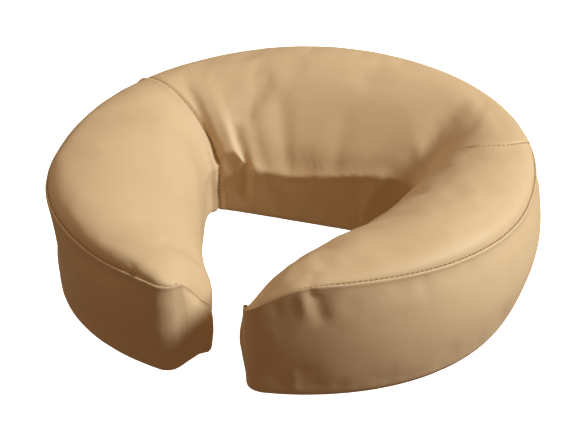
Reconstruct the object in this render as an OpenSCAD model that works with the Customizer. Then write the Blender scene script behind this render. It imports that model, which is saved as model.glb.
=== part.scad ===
// Crescent face cradle cushion: a horseshoe of two foams in a sewn cover, with a straight zip and loop
// tape on its underside. +Z is up, the crown is at +Y and the gap between the two tips is at -Y.
// The origin is on the plane that the loop tape rests on, under the middle of the cushion's box. The
// modules draw round the outline's own centre, and centred() moves them all to the origin.

/* [Outline] */
// Half of the overall width
half_w = 150; // [140:1:160]
// From the centre to the back of the crown
back_d = 150; // [140:1:160]
// From the centre to the front of the tips
front_d = 140; // [132:1:150]
// Squareness of the outline, where 2 is an ellipse
outline_power = 2.12; // [2:0.02:2.3]
// Angle from the middle of the crown to each end face
tip_angle = 172.5; // [168:0.5:174]
// Angle from the middle of the crown to each radial seam
seam_angle = 60; // [50:1:70]

/* [Face opening] */
// From the centre to the straight back edge of the opening
hole_back = 55.5; // [50:0.5:60]
// From the centre to each straight side of the opening
hole_side = 59; // [55:0.5:62]
// From the centre to each front side of the opening, which closes in on the gap
hole_front = 61; // [57:0.5:64]
// Sharpness of the opening's corners
hole_power = 8; // [6:1:14]

/* [Heights] */
// Height of the rim seam above the cover's underside, along the arms
rim_h = 68; // [60:1:76]
// How much higher the rim is at the crown
crown_rise = 15; // [5:1:20]
// How much lower the rim is at the tips
tip_drop = 12; // [0:1:20]
// How far the padded crest stands above the rim, along the arms
crest_rise = 11; // [6:1:14]
// Thickness of the base foam
base_foam_h = 28; // [20:1:32]

/* [Cover] */
// Thickness of the cover material
skin = 1.2; // [1:0.1:2]
// Corner radius where the outer wall turns into an end face
tip_corner = 9; // [5:1:12]
// Diameter of the sewing thread
thread_d = 0.8; // [0.6:0.1:1.2]

/* [Underside] */
// Thickness of the loop tape
loop_h = 2.5; // [2.5:0.1:4]
// Width of the loop tape
loop_w = 25; // [20:1:30]
// Length of the zip
zip_len = 140; // [110:1:144]
// Distance of the zip behind the centre
zip_y = 113; // [111:0.5:114]
// Length of the zip's pull tab
pull_len = 22; // [16:1:28]

/* [Hidden] */
$fn = 32;

// Gap left between pieces that lie against each other
gap = 0.3;
// Directions of the normals of the opening's side and front edges, from +Y
side_normal = 106.6;
front_normal = 117.4;
// The crown's rise fades out at this angle, and the tip's drop begins at tip_from
crown_reach = 80;
tip_from = 140;
// Share of the section's width from the rim to the crest
crest_share = 0.26;
// Crest rise lost at the crown and at the tips
crown_flat = 4;
tip_flat = 8;
// How far the outer wall bulges, and the radius of the bottom edges
wall_bulge = 2;
foot_in = 4;
foot_h = 6;
// Heights in a section, above the cover's underside
split_h = skin + base_foam_h;
// Angle that the end corner takes up, and that the band's end wall takes up
corner_a = tip_corner / 120 * 180 / PI;
end_wall_a = (skin + 0.7) / 120 * 180 / PI;
// Half of the slit that a seam leaves between two panels, as an angle
seam_slit = 0.35;
// Sampling steps
arm_steps = 17;
crown_steps = 18;
corner_steps = 4;
wall_rows = 5;
// Index in a section of its rim, and how many points follow it
rim_k = wall_rows;
hump_steps = 3;
slope_steps = 8;

function smooth(u) = u * u * (3 - 2 * u);
function unit(u) = max(0, min(1, u));
function crown_share(a) = (1 + cos(180 * min(a, crown_reach) / crown_reach)) / 2;
function tip_share(a) = smooth(unit((a - tip_from) / (tip_angle - tip_from)));
function mix(a, b, t) = a + (b - a) * t;

// Radius of the outer outline at angle a from +Y, a superellipse with its own depth front and back
function outer_r(a) =
    let (x = abs(sin(a)) / half_w, y = abs(cos(a)) / (cos(a) > 0 ? back_d : front_d))
    pow(pow(x, outline_power) + pow(y, outline_power), -1 / outline_power);

// Radius of the face opening: three straight edges, rounded into each other
function edge_share(a, dist, normal) = pow(max(0, cos(a - normal)) / dist, hole_power);
function inner_r(a) =
    pow(edge_share(a, hole_back, 0) + edge_share(a, hole_side, side_normal)
        + edge_share(a, hole_front, front_normal), -1 / hole_power);

// How far the section draws in at the rounded corner next to an end face
function corner_in(a) =
    let (u = unit((a - tip_angle + corner_a) / corner_a))
    tip_corner * (1 - sqrt(1 - u * u));

function rim_height(a) = rim_h + crown_rise * crown_share(a) - tip_drop * tip_share(a);
function crest_height(a) =
    rim_height(a) + crest_rise - crown_flat * crown_share(a) - tip_flat * tip_share(a);

function bezier(p, t) =
    pow(1 - t, 3) * p[0] + 3 * t * pow(1 - t, 2) * p[1] + 3 * t * t * (1 - t) * p[2] + pow(t, 3) * p[3];

// Section at angle a, drawn in by d, as [radius, height] from the outer foot, up the wall to the rim,
// over the crest and down the inner wall
function section(side_a, d) =
    let (a = abs(side_a),
         e = d + corner_in(a),
         ro = outer_r(a) - e,
         ri = inner_r(a) + e,
         z0 = loop_h + d,
         zs = loop_h + split_h,
         rim = [ro, loop_h + rim_height(a) - e],
         hc = loop_h + crest_height(a) - e,
         rc = mix(ro, ri, crest_share),
         k1 = 0.45 - 0.10 * crown_share(a),
         k2 = 0.70 - 0.60 * crown_share(a) - 0.25 * tip_share(a),
         hump = [rim, [ro - 0.02 * (ro - ri), mix(rim.y, hc, 0.8)], [mix(ro, rc, 0.4), hc], [rc, hc]],
         slope = [[rc, hc], [mix(rc, ri, k1), hc], [ri, mix(zs, hc, k2)], [ri, zs]])
    concat(
        [[ro - foot_in, z0], [ro - foot_in / 4, z0 + foot_h / 3], [ro, z0 + foot_h],
         [ro + wall_bulge, zs], [ro + wall_bulge, mix(zs, rim.y, 0.5)]],
        [for (i = [0:hump_steps]) bezier(hump, i / hump_steps)],
        [for (i = [1:slope_steps]) bezier(slope, i / slope_steps)],
        [[ri, z0 + foot_h], [ri + foot_in * 0.75, z0]]);

last_k = rim_k + hump_steps + slope_steps + 2;

function place(p, a) = [p.x * sin(a), p.x * cos(a), p.y];

// Angles along one arm up to an end, with closer steps round the end corner
function arm_angles(from, to) =
    let (corner_from = tip_angle - corner_a)
    concat([for (i = [0:arm_steps]) mix(from, corner_from, i / arm_steps)],
           [for (i = [1:corner_steps]) mix(corner_from, to, sin(90 * i / corner_steps))]);
function crown_angles(to) = [for (i = [-crown_steps / 2:crown_steps / 2]) to * i / (crown_steps / 2)];
function reverse(v) = [for (i = [len(v) - 1:-1:0]) v[i]];
function ring_angles(to) =
    let (arm = arm_angles(seam_angle, to), crown = crown_angles(seam_angle))
    concat([for (a = reverse(arm)) -a], [for (i = [1:len(crown) - 2]) crown[i]], arm);

// Middle of the cushion along Y, from the outline's centre
wall_y = [for (a = ring_angles(tip_angle)) let (s = section(a, 0)) for (k = [0:rim_k]) s[k].x * cos(a)];
middle_y = (min(wall_y) + max(wall_y)) / 2;
module centred() {
    translate([0, -middle_y, 0]) children();
}

function flat(grid) = [for (row = grid) for (p = row) p];

// Triangles of a grid of rows by cols points that starts at index o
function grid_faces(rows, cols, o, flip) =
    [for (i = [0:rows - 2]) for (k = [0:cols - 2])
        let (a = o + i * cols + k, b = a + 1, c = a + cols, d = c + 1)
        for (t = flip ? [[a, b, c], [b, d, c]] : [[a, c, b], [b, c, d]]) t];

// Closed sheet between an outer and an inner grid of the same size
module sheet(outer, inner) {
    rows = len(outer);
    cols = len(outer[0]);
    n = rows * cols;
    edge = concat([for (k = [0:cols - 1]) k],
                  [for (i = [1:rows - 1]) i * cols + cols - 1],
                  [for (k = [cols - 2:-1:0]) (rows - 1) * cols + k],
                  [for (i = [rows - 2:-1:1]) i * cols]);
    rim = [for (j = [0:len(edge) - 1])
        let (a = edge[j], b = edge[(j + 1) % len(edge)])
        for (t = [[a, a + n, b], [b, a + n, b + n]]) t];
    polyhedron(points = concat(flat(outer), flat(inner)),
               faces = concat(grid_faces(rows, cols, 0, true), grid_faces(rows, cols, n, false), rim));
}

// Middle of a ring of points
function centre(ring) = [for (j = [0:2]) [for (p = ring) p[j]] * [for (p = ring) 1] / len(ring)];

// Closed solid through a list of rings, with a fan over each end
module loft(rings) {
    rows = len(rings);
    cols = len(rings[0]);
    n = rows * cols;
    side = [for (i = [0:rows - 2]) for (k = [0:cols - 1])
        let (a = i * cols + k, b = i * cols + (k + 1) % cols, c = a + cols, d = b + cols)
        for (t = [[a, b, c], [b, d, c]]) t];
    first = [for (k = [0:cols - 1]) [n, (k + 1) % cols, k]];
    last = [for (k = [0:cols - 1]) [n + 1, n - cols + k, n - cols + (k + 1) % cols]];
    polyhedron(points = concat(flat(rings), [centre(rings[0]), centre(rings[rows - 1])]),
               faces = concat(side, first, last));
}

// Ring of points round a path's point, square to the direction that the path takes there
function unit_vector(v) = v / norm(v);
function tube_ring(p, along, r, sides) =
    let (u = unit_vector(cross(along, [0, 0, 1]) + [1e-6, 0, 0]), w = unit_vector(cross(along, u)))
    [for (i = [0:sides - 1]) p + r * (cos(360 * i / sides) * u + sin(360 * i / sides) * w)];

module thread(path) {
    last = len(path) - 1;
    loft([for (i = [0:last])
        tube_ring(path[i], path[min(last, i + 1)] - path[max(0, i - 1)], thread_d / 2, 6)]);
}

// Part of the sections from index k0 to k1, at a list of angles
function patch(angles, d, k0, k1) =
    [for (a = angles) let (s = section(a, d)) [for (k = [k0:k1]) place(s[k], a)]];

module top_panel(angles) {
    sheet(patch(angles, 0, rim_k, last_k), patch(angles, skin, rim_k, last_k));
}

module right_cheek_panel() {
    color("burlywood") top_panel(arm_angles(seam_angle + seam_slit, tip_angle - end_wall_a));
}

module left_cheek_panel() {
    mirror([1, 0, 0]) right_cheek_panel();
}

module crown_panel() {
    color("burlywood") top_panel(crown_angles(seam_angle - seam_slit));
}

// Columns of the side band: up the outer wall, and across an end face under the section's arch
function wall_column(a, d) =
    let (s = section(a, d)) [for (k = [0:rim_k]) k == rim_k ? place(s[k] - [0, gap], a) : place(s[k], a)];
function end_columns(a, side, d) =
    let (s = section(a, d), foot = s[0], far = s[last_k], m = last_k - 1 - rim_k)
    [for (j = [1:m])
        let (low = mix(foot, far, j / m), high = s[rim_k + j])
        [for (k = [0:rim_k]) place(mix(low, high, k / rim_k), side * a)]];

module outer_side_band() {
    columns = function (d)
        let (end = tip_angle - (d > 0 ? end_wall_a * 0.6 : 0))
        concat(reverse(end_columns(end, -1, d)),
               [for (a = ring_angles(end)) wall_column(a, d)],
               end_columns(end, 1, d));
    color("tan") sheet(columns(0), columns(skin));
}

// Outline of the underside, inset by d
function foot_outline(d) =
    let (angles = ring_angles(tip_angle - end_wall_a), s = [for (a = angles) section(a, d)])
    concat([for (i = [0:len(angles) - 1]) s[i][0].x * [sin(angles[i]), cos(angles[i])]],
           reverse([for (i = [0:len(angles) - 1]) s[i][last_k].x * [sin(angles[i]), cos(angles[i])]]));

slit_w = 10;
slider_parked_x = zip_len / 2 - 12;

module bottom_panel() {
    color("tan") translate([0, 0, loop_h]) linear_extrude(skin) difference() {
        polygon(foot_outline(skin + gap));
        translate([-zip_len / 2, zip_y - slit_w / 2]) square([zip_len, slit_w]);
    }
}

base_ring_angles = ring_angles(tip_angle - end_wall_a * 1.3);
foam_in = skin + gap;

// Base foam: firm, flat on top and below, grooved over the zip
module base_foam() {
    groove_w = 12;
    groove_h = 7;
    groove_l = zip_len + 8;
    tapes_w = 2 * tape_w + 2;
    color("lightyellow") difference() {
        loft([for (a = base_ring_angles)
            let (s = section(a, foam_in), up = [0, gap])
            [for (p = [s[0] + up, s[2], s[3], s[last_k - 2], s[last_k - 1], s[last_k] + up]) place(p, a)]]);
        translate([-groove_l / 2, zip_y - tapes_w / 2, 0]) cube([groove_l, tapes_w, tape_top + gap]);
        translate([-groove_l / 2, zip_y - groove_w / 2, 0]) cube([groove_l, groove_w, loop_h + groove_h]);
    }
}

// Comfort foam: the soft contoured layer over the base foam
module comfort_foam() {
    color("khaki") loft([for (a = base_ring_angles)
        let (s = section(a, foam_in), up = [0, gap])
        [for (k = [3:last_k - 2]) place(k == 3 || k == last_k - 2 ? s[k] + up : s[k], a)]]);
}

// Threads lie in the seams, half proud of the cover
module rim_seam_thread() {
    out = 0.25;
    color("cornsilk") thread([for (a = ring_angles(tip_angle - end_wall_a))
        let (p = section(a, 0)[rim_k]) place(p + [out + thread_d / 2, thread_d / 2], a)]);
}

module radial_thread_right() {
    proud = -0.5;
    s = section(seam_angle, proud);
    color("cornsilk") thread([for (k = [rim_k + 1:last_k - 1]) place(s[k], seam_angle)]);
}

module radial_thread_left() {
    mirror([1, 0, 0]) radial_thread_right();
}

module bottom_seam_thread() {
    outline = foot_outline(skin * 0.8);
    color("cornsilk") thread([for (p = outline) [p.x, p.y, loop_h - thread_d / 2 - 0.1]]);
}

// Loop tape: two bowed strips under the arms and a straight one under the crown
module arm_strip() {
    from = 78;
    to = 160;
    steps = 14;
    middle = function (a) (outer_r(a) + inner_r(a)) / 2;
    edge = function (side) [for (i = [0:steps])
        let (a = mix(from, to, i / steps)) (middle(a) + side * loop_w / 2) * [sin(a), cos(a)]];
    color("beige") linear_extrude(loop_h) polygon(concat(edge(1), reverse(edge(-1))));
}

module loop_strip_right() {
    arm_strip();
}

module loop_strip_left() {
    mirror([1, 0, 0]) arm_strip();
}

module loop_strip_crown() {
    strip_l = 90;
    strip_y = 79;
    color("beige") translate([-strip_l / 2, strip_y - loop_w / 2, 0]) cube([strip_l, loop_w, loop_h]);
}

// Zip: the tapes are sewn inside the slit, the coils lie over their facing edges, and the slider runs
// between the plates' flanges, under the coils
tape_h = 0.6;
tape_w = 12;
row_gap = 0.6;
coil_r = 0.8;
tape_z = loop_h + skin + 0.1;
tape_top = tape_z + tape_h;
coil_z = tape_top + 0.1 + coil_r;

module zip_tape() {
    color("wheat") translate([-zip_len / 2, zip_y + row_gap, tape_z])
        cube([zip_len, tape_w - row_gap, tape_h]);
}

module zip_tape_rear() {
    zip_tape();
}

module zip_tape_front() {
    translate([0, 2 * zip_y, 0]) mirror([0, 1, 0]) zip_tape();
}

// One coil row, as the round outline that its turns fill
module zip_coil() {
    stop_room = 4;
    color("ivory") translate([-zip_len / 2 + stop_room, zip_y + row_gap + coil_r, coil_z])
        rotate([0, 90, 0]) cylinder(r = coil_r, h = zip_len - 2 * stop_room);
}

module zip_coil_rear() {
    zip_coil();
}

module zip_coil_front() {
    translate([0, 2 * zip_y, 0]) mirror([0, 1, 0]) zip_coil();
}

// End stop: a staple bent over both coil rows
module zip_end_stop(x) {
    stop_l = 2.4;
    color("goldenrod") translate([x - stop_l / 2, zip_y - 2.6, tape_top + 0.1])
        cube([stop_l, 5.2, 2 * coil_r + 0.4]);
}

module zip_end_stop_left() {
    zip_end_stop(-zip_len / 2 + 2);
}

module zip_end_stop_right() {
    zip_end_stop(zip_len / 2 - 2);
}

slider_l = 9;
slider_w = 7.4;
plate_h = 0.8;
plate_low_z = tape_z - 0.25 - plate_h;
plate_high_z = coil_z + coil_r + 0.25;
hinge_z = plate_low_z - 1;
pin_r = 0.45;

// Plate of the slider: a rounded tablet
module slider_plate(z) {
    corner = 1.5;
    translate([0, 0, z]) linear_extrude(plate_h) hull()
        for (x = [-1, 1], y = [-1, 1])
            translate([x * (slider_l / 2 - corner), y * (slider_w / 2 - corner)]) circle(corner);
}

module zip_slider() {
    wedge_w = 0.5;
    bridge_w = 1.4;
    bridge_h = 0.6;
    bridge_l = 6;
    bridge_z = hinge_z - pin_r - 0.25 - bridge_h;
    color("goldenrod") translate([slider_parked_x, zip_y, 0]) {
        slider_plate(plate_low_z);
        slider_plate(plate_high_z);
        // The wedge that joins the plates and parts the coils
        translate([slider_l / 2 - 2.4, -wedge_w / 2, plate_low_z + plate_h / 2])
            cube([2, wedge_w, plate_high_z - plate_low_z]);
        // The bridge that holds the pull tab
        translate([-bridge_l / 2, -bridge_w / 2, bridge_z]) cube([bridge_l, bridge_w, bridge_h]);
        post_h = plate_low_z - bridge_z + 0.2;
        for (x = [-bridge_l / 2, bridge_l / 2 - bridge_h])
            translate([x, -bridge_w / 2, bridge_z]) cube([bridge_h, bridge_w, post_h]);
    }
}

// Pull tab: a flat tab with a window, whose cross bar turns under the bridge
module zip_pull_tab() {
    tab_w = 4.6;
    tab_h = 0.9;
    arm_w = 1;
    window_l = 4.4;
    color("goldenrod") translate([slider_parked_x, zip_y, hinge_z]) {
        rotate([90, 0, 0]) cylinder(r = pin_r, h = tab_w, center = true);
        for (side = [-1, 1])
            translate([0, side * (tab_w - arm_w) / 2 - arm_w / 2, -tab_h / 2])
                cube([window_l + 0.5, arm_w, tab_h]);
        translate([window_l, -tab_w / 2, -tab_h / 2]) cube([pull_len - window_l - tab_w / 2, tab_w, tab_h]);
        translate([pull_len - tab_w / 2, 0, -tab_h / 2]) cylinder(d = tab_w, h = tab_h);
    }
}

centred() left_cheek_panel();
centred() crown_panel();
centred() right_cheek_panel();
centred() outer_side_band();
centred() bottom_panel();
centred() base_foam();
centred() comfort_foam();
centred() rim_seam_thread();
centred() radial_thread_left();
centred() radial_thread_right();
centred() bottom_seam_thread();
centred() loop_strip_left();
centred() loop_strip_right();
centred() loop_strip_crown();
centred() zip_tape_front();
centred() zip_tape_rear();
centred() zip_coil_front();
centred() zip_coil_rear();
centred() zip_end_stop_left();
centred() zip_end_stop_right();
centred() zip_slider();
centred() zip_pull_tab();
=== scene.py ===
"""Face cradle cushion: the sewn cover, its seams, stitches and zip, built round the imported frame.

Lengths in the shape code are millimetres in the outline's own frame, where +Y is the crown. Angles are
degrees from +Y towards +X, so the left arm has negative angles. place() turns such points into metres in
the row frame.
"""

import math

import bmesh
import bpy
import numpy as np
from mathutils import Matrix, Vector, kdtree


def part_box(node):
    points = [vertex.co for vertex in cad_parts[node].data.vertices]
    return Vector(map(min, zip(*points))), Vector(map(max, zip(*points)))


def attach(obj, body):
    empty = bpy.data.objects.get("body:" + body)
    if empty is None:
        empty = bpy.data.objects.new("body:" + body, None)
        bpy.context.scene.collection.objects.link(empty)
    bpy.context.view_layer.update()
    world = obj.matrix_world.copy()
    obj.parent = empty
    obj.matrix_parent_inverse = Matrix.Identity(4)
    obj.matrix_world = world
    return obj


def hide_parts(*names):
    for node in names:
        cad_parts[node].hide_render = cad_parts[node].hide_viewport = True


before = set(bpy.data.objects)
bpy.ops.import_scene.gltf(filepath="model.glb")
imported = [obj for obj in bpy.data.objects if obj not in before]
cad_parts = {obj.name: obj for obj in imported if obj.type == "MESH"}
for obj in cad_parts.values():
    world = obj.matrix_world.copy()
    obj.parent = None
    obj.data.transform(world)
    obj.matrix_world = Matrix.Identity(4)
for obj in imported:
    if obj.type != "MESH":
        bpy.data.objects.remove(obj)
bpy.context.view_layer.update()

MM = 0.001

# ---------------------------------------------------------------- driving dimensions
# The outline is a superellipse, deeper behind the middle than in front of it
WALL_BULGE = 2.0
band_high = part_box("outer_side_band")[1]
HALF_W = band_high.x / MM - WALL_BULGE
BACK_D = 150.0
FRONT_D = 140.0
OUTLINE_POWER = 2.12

# The face hole: how far each straight edge is from the middle, and the direction it faces
HOLE_BACK = 52.5
HOLE_CORNER = 88.0
HOLE_SIDE = 59.0
HOLE_FRONT = 61.0
CORNER_NORMAL = 54.0
SIDE_NORMAL = 106.6
FRONT_NORMAL = 117.4
HOLE_POWER = 16.0

# The arms end at this angle, with rounded corners on both sides of the end face
TIP_ANGLE = 173.0
OUTER_CORNER = 11.0
INNER_CORNER = 5.0
CORNER_RADIUS = 120.0

COVER_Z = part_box("bottom_panel")[0].z / MM
MIDDLE_Y = BACK_D + WALL_BULGE - band_high.y / MM
SKIN = 1.2
# The stuffed cover stands this far outside its smooth form, and its hem lies this far in under the edge
EASE = 1.2
HEM_IN = 4.5
# The rim seam lies this far inside the wall, and the radial seams leave it at these angles
SEAM_IN = 1.6
LEFT_SEAM = -57.5
RIGHT_SEAM = 67.0

# The shape along the ring as (angle, value) pairs. The rim's height over the cover's underside, and the
# crest's rise over the rim:
RIM = [(-173, 57), (-160, 59.5), (-150, 60), (-140, 62), (-128, 65), (-110, 67.5), (-60, 73), (0, 85),
       (60, 78), (98, 72), (120, 73.3), (140, 74.2), (155, 73), (160, 70.5), (165, 64), (173, 51)]
CREST = [(-173, 4), (-160, 7.5), (-150, 9.5), (-130, 11.5), (-110, 10.5), (-60, 9), (0, 7), (60, 8),
         (98, 12.5), (120, 10.5), (140, 5.5), (152, 2.5), (162, 1), (173, 1)]
# How far the band stands out at the rim, at half height and at the foot, and how deep the rim seam sinks
LEAN = [(-173, -0.5), (-150, -1), (-125, 0), (-95, -1.5), (-60, 0), (0, 0), (60, 0.5), (90, 1),
        (130, 0.5), (173, 0)]
BULGE = [(-173, 1), (-150, 0), (-115, -5), (-90, -6.5), (-60, -2), (0, 2), (60, 4), (90, 5),
         (110, 4.5), (150, 2), (173, 0)]
FOOT = [(-173, -2), (-150, -2.5), (-127, -4), (-95, -4.5), (-60, -1), (0, 0), (60, -1), (100, -3),
        (130, -2.5), (150, -2), (173, -1)]
SEAM_DEPTH = [(-173, 0.8), (-150, 1.1), (-80, 1.2), (-50, 0.8), (60, 0.5), (150, 0.5), (158, 1.0),
              (170, 1.2), (173, 0.8)]
# Height of the fold where the crown's slope meets its upright inner wall. The arms have no fold: there the
# slope runs down to the line where the two foams meet
FOLD_H = [(-85, 33), (-54, 33), (-51, 45), (-48, 46), (-43, 38), (-37, 34), (-20, 33), (5, 36), (30, 41),
          (50, 44), (67, 44), (85, 38)]
SPLIT_H = 29.0
# Share of the way in at which the top is highest
CREST_SHARE = 0.27
# The top rolls down to the end seam over END_ROLL degrees. That seam falls to END_LOW at the inner corner
END_ROLL = 8.0
END_LOW = 28.0
# The left tip's end face is turned: beyond SKEW_FROM it is set back by this share of the distance outwards
TIP_SKEW = 0.22
SKEW_FROM = 110.0
SKEW_START = 156.0


def unit(u):
    return np.clip(u, 0.0, 1.0)


def smooth(u):
    u = unit(u)
    return u * u * (3 - 2 * u)


def through(pairs, x):
    """Smooth curve through (x, value) pairs: a cubic with the slopes of a monotone fit."""
    xs, ys = np.array(pairs, float).T
    h = np.diff(xs)
    d = np.diff(ys) / h
    m = np.zeros(len(xs))
    same = d[:-1] * d[1:] > 0
    m[1:-1][same] = (2 * d[:-1] * d[1:])[same] / (d[:-1] + d[1:])[same]
    m[0], m[-1] = d[0], d[-1]
    x = np.clip(x, xs[0], xs[-1])
    i = np.clip(np.searchsorted(xs, x, side="right") - 1, 0, len(h) - 1)
    t = (x - xs[i]) / h[i]
    return (ys[i] * (1 + 2 * t) * (1 - t) ** 2 + ys[i + 1] * t * t * (3 - 2 * t)
            + h[i] * t * (1 - t) * ((1 - t) * m[i] - t * m[i + 1]))


def outer_radius(a):
    """Radius of the outline at angle a."""
    a = np.radians(a)
    depth = np.where(np.cos(a) > 0, BACK_D, FRONT_D)
    x, y = np.abs(np.sin(a)) / HALF_W, np.abs(np.cos(a)) / depth
    return (x**OUTLINE_POWER + y**OUTLINE_POWER) ** (-1 / OUTLINE_POWER) + EASE


def inner_radius(a):
    """Radius of the face hole at angle a, with its corners rounded."""
    share = 0.0
    for dist, normal in ((HOLE_BACK, 0), (HOLE_CORNER, CORNER_NORMAL), (HOLE_SIDE, SIDE_NORMAL),
                         (HOLE_FRONT, FRONT_NORMAL)):
        share = share + (np.maximum(0, np.cos(np.radians(np.abs(a) - normal))) / dist) ** HOLE_POWER
    return share ** (-1 / HOLE_POWER) - EASE


def rim_height(a):
    """Height of the rim in the row frame."""
    return COVER_Z + EASE + through(RIM, a)


def outward(a):
    """Direction away from the middle at angle a."""
    a = np.radians(a)
    return np.stack([np.sin(a), np.cos(a)], -1)


def endward(a):
    """Direction along the ring, from the arm's tip towards the gap."""
    b = np.radians(a)
    return np.sign(a)[..., None] * np.stack([np.cos(b), -np.sin(b)], -1)


def corner_turn(a, size, share=1.0):
    """Sine of how far the outline has turned into the end face at angle a, up to share at the tip."""
    reach = math.degrees(size / CORNER_RADIUS)
    return share * unit((np.abs(a) - TIP_ANGLE + reach) / reach)


def skew(xy):
    """Plan points with the left arm's tip turned."""
    a = np.degrees(np.arctan2(xy[..., 0], xy[..., 1]))
    share = smooth((-a - SKEW_START) / (TIP_ANGLE - SKEW_START))
    back = TIP_SKEW * (np.hypot(xy[..., 0], xy[..., 1]) - SKEW_FROM) * share
    return xy - back[..., None] * endward(np.minimum(a, -1.0))


def place(xy, z):
    """Metres in the row frame from plan points and heights."""
    xy = skew(np.asarray(xy, float))
    z = np.broadcast_to(z, xy.shape[:-1])
    return np.stack([xy[..., 0], xy[..., 1] - MIDDLE_Y, z], -1) * MM


def bezier(p, n):
    """n points after the first of a cubic through control points p, each an array over the angles."""
    t = np.linspace(0, 1, n + 1)[1:, None]
    p = [np.asarray(q, float)[None] for q in p]
    return (1 - t) ** 3 * p[0] + 3 * t * (1 - t) ** 2 * p[1] + 3 * t * t * (1 - t) * p[2] + t**3 * p[3]


def curve(points, n=10):
    """Catmull-Rom curve through pairs of arrays, n steps to each span."""
    size = max(np.size(c) for p in points for c in p)
    pts = np.array([np.stack([np.broadcast_to(c, size) for c in p], -1) for p in points], float)
    ext = np.concatenate([2 * pts[:1] - pts[1:2], pts, 2 * pts[-1:] - pts[-2:-1]])
    out = [pts[:1]]
    t = np.linspace(0, 1, n + 1)[1:, None, None]
    for i in range(len(pts) - 1):
        a, b, c, d = ext[i : i + 4]
        out.append(0.5 * (2 * b + (c - a) * t + (2 * a - 5 * b + 4 * c - d) * t * t
                          + (3 * b - a - 3 * c + d) * t**3))
    return np.concatenate(out)


def even(lines, share):
    """Resample lines[k, column, 2] at shares of each line's length."""
    out = np.empty((len(share), lines.shape[1], 2))
    for j in range(lines.shape[1]):
        step = np.linalg.norm(np.diff(lines[:, j], axis=0), axis=1)
        s = np.concatenate([[0], np.cumsum(step)])
        for c in (0, 1):
            out[:, j, c] = np.interp(share * s[-1], s, lines[:, j, c])
    return out


def wall_profile(rim, lean, bulge, foot, deep):
    """Lines [distance outwards, height] of the band, from its hem under the edge up to the rim seam."""
    z0 = COVER_Z
    h = rim - z0
    low = np.minimum(18, 0.3 * h)
    hem = [(foot - HEM_IN, z0), (foot - 1.6, z0 - 0.6), (foot, z0 + 2.6)]
    side = [(0.6 * bulge + 0.4 * foot, z0 + low), (bulge, z0 + 0.5 * h),
            (0.7 * bulge + 0.3 * lean, z0 + 0.75 * h)]
    roll = [(lean - 0.1, rim - 4.0), (lean, rim - 1.4), (lean - 0.3, rim - 0.45), (lean - 0.8, rim)]
    seam = [(lean - 1.2, rim - 0.4 * deep), (lean - SEAM_IN, rim - deep)]
    return curve(hem + side + roll + seam)


HUMP_STEPS = 16
SLOPE_STEPS = 44
FOOT_STEPS = 6


def top_lines(a):
    """Lines [radius, height] of the top at angles a, from the rim seam over the crest to the inner foot."""
    sine = corner_turn(a, OUTER_CORNER)
    cosine = np.sqrt(1 - sine**2)
    inner_sine = corner_turn(a, INNER_CORNER, 0.5)
    ro = outer_radius(a) - OUTER_CORNER * (1 - cosine)
    ri = inner_radius(a) + INNER_CORNER * (1 - np.sqrt(1 - inner_sine**2))
    lean, deep = through(LEAN, a), through(SEAM_DEPTH, a)
    rim = rim_height(a)
    crest = rim + through(CREST, a)
    z0 = COVER_Z
    rs = ro + (lean - SEAM_IN) * cosine
    rc = ro + CREST_SHARE * (ri - ro)
    # Round the crown the slope runs straight into a fold, and along the arms it curves down
    crown = smooth((85 - np.abs(a)) / 40)
    tip = smooth((np.abs(a) - 140) / (TIP_ANGLE - 140))
    fold_z = z0 + through(FOLD_H, a) * crown + SPLIT_H * (1 - crown)
    flat = 0.16 * smooth((a - 60) / 20) * smooth((150 - a) / 30)
    # How long the slope stays level after the crest, and how steeply it comes down to the fold
    level = 0.45 - 0.13 * crown
    steep = (0.70 - 0.25 * tip - flat) * (1 - crown) + 0.30 * crown
    hump = bezier([rs, rs + 0.2, 0.55 * rs + 0.45 * rc, rc], HUMP_STEPS)
    hump_z = bezier([rim - deep, rim + 0.75 * (crest - rim), crest, crest], HUMP_STEPS)
    slope = bezier([rc, rc + level * (ri - rc), ri + 0.20 * crown * (rc - ri), ri], SLOPE_STEPS)
    slope_z = bezier([crest, crest, fold_z + steep * (crest - fold_z), fold_z], SLOPE_STEPS)
    under = 1.6 * crown
    foot = curve([(ri, fold_z), (ri + 0.5 * under, fold_z - 4), (ri + under, z0 + 16),
                  (ri + 0.6 * under, z0 + 5), (ri + 0.9, z0 - 0.4), (ri + 3.5, z0)], FOOT_STEPS)
    top = np.concatenate([np.stack([rs, rim - deep], -1)[None], np.stack([hump, hump_z], -1),
                          np.stack([slope, slope_z], -1), foot[1:]])
    # Near the tip everything above the end seam's line rolls down to it
    u = unit((np.abs(a) - (TIP_ANGLE - END_ROLL)) / END_ROLL)
    t = unit((rs - top[..., 0]) / (rs - ri))
    low = end_seam_height(t, rim - deep)
    over = np.maximum(top[..., 1] - low, 0)
    top[..., 1] = np.where(over > 0, low + over * np.sqrt(1 - u * u), top[..., 1])
    return top


def end_seam_height(t, rim):
    """Height of the seam over the end face at share t of the way in, where it starts at height rim."""
    return rim - (rim - COVER_Z - END_LOW) * t**1.25


# How far each radial seam strays from its own angle, as (share of the line, degrees). The columns beside it
# follow it over STRAY_REACH degrees
SEAM_STRAY = {
    LEFT_SEAM: [(0, -3), (0.1, -2.7), (0.2, -1.9), (0.31, 0), (0.45, 2.5), (0.6, 4.0), (0.8, 4.2),
                (1, 3.6)],
    RIGHT_SEAM: [(0, -1.5), (0.1, 3), (0.17, 4.5), (0.25, 4), (0.35, 1), (1, 0)],
}
STRAY_REACH = 30.0


def stray(a, share):
    """Degrees by which a column at angle a moves at a share of its line."""
    return sum(through(knots, share) * smooth(1 - np.abs(a - seam) / STRAY_REACH)
               for seam, knots in SEAM_STRAY.items())


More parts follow.
